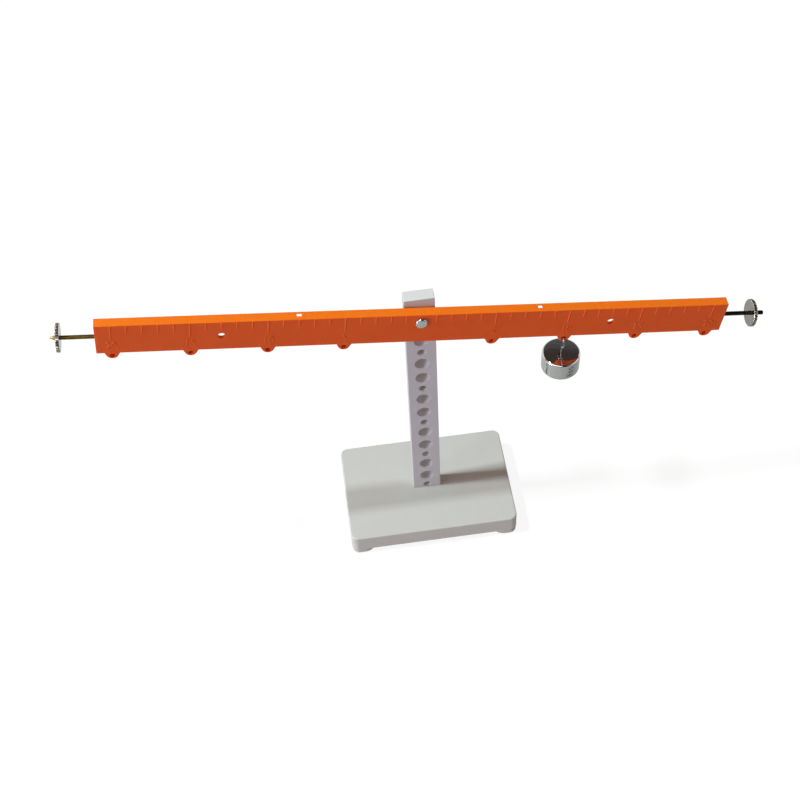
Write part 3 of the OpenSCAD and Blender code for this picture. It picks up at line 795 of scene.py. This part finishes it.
for side in (-1, 1):
    for count in range(LUG_EVERY, GRADS + 1, LUG_EVERY):
        digits = numeral(str(count), NUMERAL_H, NUMERAL_RISE, NUMERAL_SQUEEZE, NUMERAL_CHAMFER,
                         swell=NUMERAL_SWELL)
        numerals.append(moved(digits, side * count * GRAD, 0, NUMERAL_Z))
piece("scale_numerals", join(*numerals), on_beam, "lever", orange_abs)

# Balance studs and nuts
left_rod = threaded(-STUD_IN, LEFT_STUD_OUT, STUD_R, STUD_PITCH, LEFT_TIP_R, LEFT_TIP)
right_rod = threaded(-STUD_IN, RIGHT_STUD_OUT, STUD_R, STUD_PITCH, RIGHT_TIP_R, RIGHT_TIP)
piece("left_stud_thread", left_rod, left_end, "lever", yellow_zinc, ["left_balance_stud"])
piece("right_stud_thread", right_rod, right_end, "lever", dark_steel, ["right_balance_stud"])
left_disc = balance_nut(LEFT_NUT_AT)
right_disc = balance_nut(RIGHT_NUT_AT)
piece("left_disc_nut", left_disc, left_end, "left_nut", nickel, ["left_balance_nut"])
piece("right_disc_nut", right_disc, right_end, "right_nut", nickel, ["right_balance_nut"])

# Pivot: headed pin, spacer, rear washer and hexagon nut
front = pivot.y / MM - BEAM_T / 2 - PIN_HEAD_GAP
rear = column_high.y
crest = front - PIN_HEAD_T
head = [(0, crest), (PIN_HEAD_R / 2, crest + PIN_HEAD_CROWN / 3)]
head += arc(PIN_HEAD_R - PIN_HEAD_EDGE, crest + PIN_HEAD_CROWN + PIN_HEAD_EDGE, PIN_HEAD_EDGE, -86, 0, 8)
head += [(PIN_HEAD_R, front - PIN_HEAD_BACK_EDGE), (PIN_HEAD_R - PIN_HEAD_BACK_EDGE, front)]
stem = [(PIN_R, front), (PIN_R, rear), (0, rear)]
tail = threaded(rear - PIN_TAIL_IN, rear + PIN_TAIL, PIN_R, PIN_PITCH, PIN_TIP_R, PIN_TIP, 24)
pin = join(turned(head + stem), tail)
piece("pivot_headed_pin", pin, on_pivot, "stand", bright_steel, ["pivot_pin"])
bore_r = PIN_R + CLEARANCE
spacer = ring(bore_r, SPACER_R, column_low.y - SPACER_T, column_low.y, SPACER_EDGE)
piece("pivot_spacer_ring", spacer, on_pivot, "stand", nylon, ["pivot_spacer"])
nut_from = rear + WASHER_T
washer = ring(bore_r, WASHER_R, rear, nut_from, WASHER_EDGE)
piece("pivot_washer", washer, on_pivot, "stand", zinc, ["pivot_rear_washer"])
hexagon = hexagon_nut(nut_from, nut_from + HEXAGON_T, HEXAGON_FLAT_R, bore_r)
piece("pivot_hexagon_nut", hexagon, on_pivot, "stand", zinc, ["pivot_nut"])

# Column screws and their washers, under the base
screw_low, screw_high = (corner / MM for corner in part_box("column_screws"))
washer_low, washer_high = (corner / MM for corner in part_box("column_screw_washers"))
head_z = screw_low.z + SCREW_HEAD_H
dome = [(0, screw_low.z), (DOME_FLAT_R, screw_low.z + DOME_RISE)]
dome += arc(SCREW_HEAD_R - DOME_EDGE, screw_low.z + DOME_SIDE, DOME_EDGE, -70, 0, 5)
shaft = [(SCREW_HEAD_R, head_z), (SCREW_R, head_z), (SCREW_R, screw_high.z - SCREW_TIP),
         (SCREW_TIP_R, screw_high.z), (0, screw_high.z)]
screws = []
washers = []
for x in (screw_low.x + SCREW_HEAD_R, screw_high.x - SCREW_HEAD_R):
    bits = []
    for wide, deep in ((CROSS_LONG, CROSS_WIDE), (CROSS_WIDE, CROSS_LONG)):
        reach = Vector((wide / 2, deep / 2, CROSS_DEPTH))
        bits.append(moved(block(-reach, reach), 0, 0, screw_low.z))
    screw = carve(turned(dome + shaft), join(*bits))
    screws.append(moved(screw, x, column_mid.y))
    washer = ring(SCREW_R + CLEARANCE, SCREW_WASHER_R, washer_low.z, washer_high.z, SCREW_WASHER_EDGE)
    washers.append(moved(washer, x, column_mid.y))
piece("column_pan_screws", join(*screws), in_mm, "stand", zinc, ["column_screws"])
piece("column_flat_washers", join(*washers), in_mm, "stand", zinc, ["column_screw_washers"])

# Weight: a turned slug with a recess below, a crowned top and its number cut into the side
bottom = WEIGHT_TOP - WEIGHT_H
rim_r = WEIGHT_R - WEIGHT_BEVEL
crown_r = (rim_r ** 2 + WEIGHT_CROWN ** 2) / (2 * WEIGHT_CROWN)
crown_edge = math.degrees(math.asin(rim_r / crown_r))
inside = [(0, bottom + RECESS_H)]
inside += arc(RECESS_R - RECESS_CORNER, bottom + RECESS_H - RECESS_CORNER, RECESS_CORNER, 90, 0)
inside += [(RECESS_R, bottom + RECESS_MOUTH), (RECESS_R + RECESS_MOUTH, bottom)]
outside = arc(rim_r, bottom + WEIGHT_BEVEL, WEIGHT_BEVEL, -90, 0)
outside += arc(rim_r, WEIGHT_TOP - WEIGHT_CROWN - WEIGHT_BEVEL, WEIGHT_BEVEL, 0, 90 - crown_edge)
outside += arc(0, WEIGHT_TOP - crown_r, crown_r, 90 - crown_edge, 90, 6)[1:]
slug = turned(inside + outside, 96)
mark = numeral("50g", MARK_H, MARK_DEPTH, 1.0, MARK_CHAMFER, MARK_SPACING)
on_side = Matrix.Translation((0, -WEIGHT_R, (WEIGHT_TOP + bottom) / 2))
mark.transform(Matrix.Rotation(math.radians(MARK_TURN), 4, "Z") @ on_side @ z_to_right)
slug = carve(slug, mark)
for face in slug.faces:
    middle = face.calc_center_median()
    sunk = math.hypot(middle.x, middle.y) < WEIGHT_R - MARK_DEPTH / 3
    between = bottom + MARK_MARGIN < middle.z < WEIGHT_TOP - MARK_MARGIN
    if sunk and between and middle.y < -RECESS_R - RECESS_CORNER:
        face.material_index = 1
slug_piece = piece("weight_slug", slug, on_hook, "weight", chrome, ["weight_body"])
slug_piece.data.materials.append(enamel)

# Cross pin in the weight's recess
end_r = CROSS_PIN_R - CROSS_PIN_EDGE
side_end = CROSS_PIN_HALF - CROSS_PIN_EDGE
cross = turned([(0, -CROSS_PIN_HALF), (end_r, -CROSS_PIN_HALF), (CROSS_PIN_R, -side_end),
                (CROSS_PIN_R, side_end), (end_r, CROSS_PIN_HALF), (0, CROSS_PIN_HALF)], 32)
cross.transform(Matrix.Translation((0, 0, bottom + CROSS_PIN_UP)) @ z_to_right)
piece("weight_hanging_pin", cross, on_hook, "weight", bright_steel, ["weight_cross_pin"])

# Hook: a wire round the loop from its tail, back through the bend and straight down into the weight
loop_z = LOOP_UP - LOOP_R
bend_z = loop_z - math.sqrt(LOOP_R ** 2 + 2 * LOOP_R * BEND_R)
bend_turn = math.asin(BEND_R / (LOOP_R + BEND_R))
wire = bmesh.new()
start = bmesh.ops.create_circle(wire, segments=16, radius=WIRE_R)["verts"]
tail_turn = Matrix.Rotation(math.pi - LOOP_TAIL, 4, "X")
loop_foot = Matrix.Translation((0, 0, -LOOP_R))
wire.transform(Matrix.Translation((0, 0, loop_z)) @ tail_turn @ loop_foot @ z_to_front)
wire.faces.new(start)
ends = bmesh.ops.spin(wire, geom=list(wire.edges), cent=(0, 0, loop_z), axis=(1, 0, 0),
                      angle=math.pi + LOOP_TAIL - bend_turn, steps=48)["geom_last"]
ends = bmesh.ops.spin(wire, geom=of_kind(ends, bmesh.types.BMEdge), cent=(0, -BEND_R, bend_z),
                      axis=(1, 0, 0), angle=bend_turn - math.pi / 2, steps=12)["geom_last"]
shank = bmesh.ops.extrude_edge_only(wire, edges=of_kind(ends, bmesh.types.BMEdge))["geom"]
shank_drop = (0, 0, WEIGHT_TOP - SHANK_IN - bend_z)
bmesh.ops.translate(wire, vec=shank_drop, verts=of_kind(shank, bmesh.types.BMVert))
bmesh.ops.holes_fill(wire, edges=[e for e in wire.edges if e.is_boundary])
bmesh.ops.remove_doubles(wire, verts=wire.verts, dist=SAME)
bmesh.ops.recalc_face_normals(wire, faces=wire.faces)
piece("weight_wire_hook", wire, on_hook, "weight", hook_steel, ["weight_hook"])


def seen_rays(tree):
    """A value of 1 for rays from the camera, off shiny surfaces and through clear ones."""
    path = add(tree, "ShaderNodeLightPath")
    seen = path.outputs["Is Camera Ray"]
    for kind in ("Is Glossy Ray", "Is Transmission Ray"):
        seen = add(tree, "ShaderNodeMath", {0: seen, 1: path.outputs[kind]}, operation="MAXIMUM").outputs[0]
    return seen


# Floor and world: white to the eye, plain studio light on the object
floor_material, floor_tree, floor_shader = new_material("pale_floor")
seen = seen_rays(floor_tree)
tones = {FACTOR: seen, FIRST: FLOOR_BOUNCE, SECOND: FLOOR_SEEN}
tone = add(floor_tree, "ShaderNodeMix", tones, data_type="RGBA")
floor_tree.links.new(tone.outputs[MIXED], floor_shader.inputs["Base Color"])
floor_tree.links.new(seen, floor_shader.inputs["Emission Strength"])
floor_shader.inputs["Emission Color"].default_value = FLOOR_GLOW
floor_shader.inputs["Roughness"].default_value = 0.9
floor_shader.inputs["Specular IOR Level"].default_value = 0.0
floor_bm = bmesh.new()
bmesh.ops.create_grid(floor_bm, x_segments=2, y_segments=2, size=FLOOR_HALF)
shown("floor", floor_bm, floor_material)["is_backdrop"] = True

world = bpy.data.worlds.new("studio")
world.use_nodes = True
scene.world = world
sky = world.node_tree
tones = {FACTOR: seen_rays(sky), FIRST: WORLD_LIGHT, SECOND: WORLD_SEEN}
tone = add(sky, "ShaderNodeMix", tones, data_type="RGBA")
sky.links.new(tone.outputs[MIXED], sky.nodes["Background"].inputs["Color"])


def lamp(name, size, azimuth, elevation, distance, watts, colour):
    """A square soft lamp that points at the middle of the object."""
    data = bpy.data.lights.new(name, "AREA")
    data.size = size
    data.energy = watts
    data.color = colour
    obj = bpy.data.objects.new(name, data)
    scene.collection.objects.link(obj)
    a, e = math.radians(azimuth), math.radians(elevation)
    away = Vector((math.cos(a) * math.cos(e), math.sin(a) * math.cos(e), math.sin(e)))
    obj.location = LAMP_AIM + away * distance
    obj.rotation_euler = away.to_track_quat("Z", "Y").to_euler()


lamp("window", size=0.26, azimuth=180.3, elevation=60, distance=3.0, watts=81.0, colour=(0.86, 0.96, 1.0))
lamp("fill", size=1.0, azimuth=206, elevation=5, distance=4.0, watts=72.0, colour=(0.96, 0.9, 1.0))


def card(name, tone, middle, facing, width, height, full, power=1.0):
    """A painted reflection: a soft-edged card that only reflections show, as a flag beside polished metal.

    It fades from 1 in its middle to 0 at its edge, and full is the level from which it is solid."""
    material, tree, _ = new_material(name)
    place = add(tree, "ShaderNodeUVMap", uv_map="card").outputs["UV"]
    fade = add(tree, "ShaderNodeTexGradient", {"Vector": place}, gradient_type="QUADRATIC_SPHERE")
    level = add(tree, "ShaderNodeMapRange", {"Value": fade.outputs["Fac"], "From Max": full})
    glow = add(tree, "ShaderNodeEmission", {"Color": linear(tone), "Strength": power})
    clear = add(tree, "ShaderNodeBsdfTransparent")
    layers = {0: level.outputs["Result"], 1: clear.outputs[0], 2: glow.outputs[0]}
    soft = add(tree, "ShaderNodeMixShader", layers)
    tree.links.new(soft.outputs[0], tree.nodes["Material Output"].inputs["Surface"])
    bm = bmesh.new()
    bmesh.ops.create_grid(bm, x_segments=1, y_segments=1, size=0.5)
    corners = bm.loops.layers.uv.new("card")
    for face in bm.faces:
        for loop in face.loops:
            loop[corners].uv = loop.vert.co.xy * 2
    bmesh.ops.scale(bm, vec=(width, height, 1), verts=bm.verts)
    turn = Vector(facing).to_track_quat("Z", "Y").to_matrix().to_4x4()
    bm.transform(Matrix.Translation(middle) @ turn)
    obj = shown(name, bm, material)
    obj.visible_camera = False
    obj.visible_diffuse = False
    obj.visible_shadow = False
    obj.visible_transmission = False
    obj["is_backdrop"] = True


# Painted reflections for the metal: these cards light and shade nothing, and only reflections show them
card("card_overhead", "#433A35", (0.2, -0.6, 3.3), facing=(0, 0, -1), width=10.0, height=8.4, full=0.05)
card("card_behind", "#5C5B5C", (2.65, 3.8, 3.3), facing=(0, -1, 0), width=9.0, height=6.0, full=0.1)
card("card_on_floor", "#969A96", (0.22, -0.06, 0.001), facing=(0, 0, 1), width=2.4, height=2.4, full=1.0)
card("card_in_front", "#2A2826", (0.2, -2.3, 0.002), facing=(0, 0, 1), width=6.0, height=3.8, full=0.01)
# A white strip three times as bright: a painted highlight along the metal's rounded edges
card("card_strip", "#FFFFFF", (-0.94, -1.34, 1.64), facing=(0.43, 0.61, -0.67), width=3.0, height=1.5,
     full=0.1, power=3.0)
card("card_far_front", "#201E1C", (0.3, -4.2, 0.6), facing=(0, 1, 0), width=10.0, height=7.2, full=0.05)

# Camera
camera = bpy.data.cameras.new("camera")
camera.lens = CAMERA_LENS
camera.sensor_width = SENSOR
camera_object = bpy.data.objects.new("camera", camera)
camera_object.location = Vector(CAMERA_PLACE) * MM
camera_object.rotation_euler = [math.radians(a) for a in CAMERA_TURN]
scene.collection.objects.link(camera_object)
scene.camera = camera_object
scene.view_settings.view_transform = "Standard"

low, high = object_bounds()
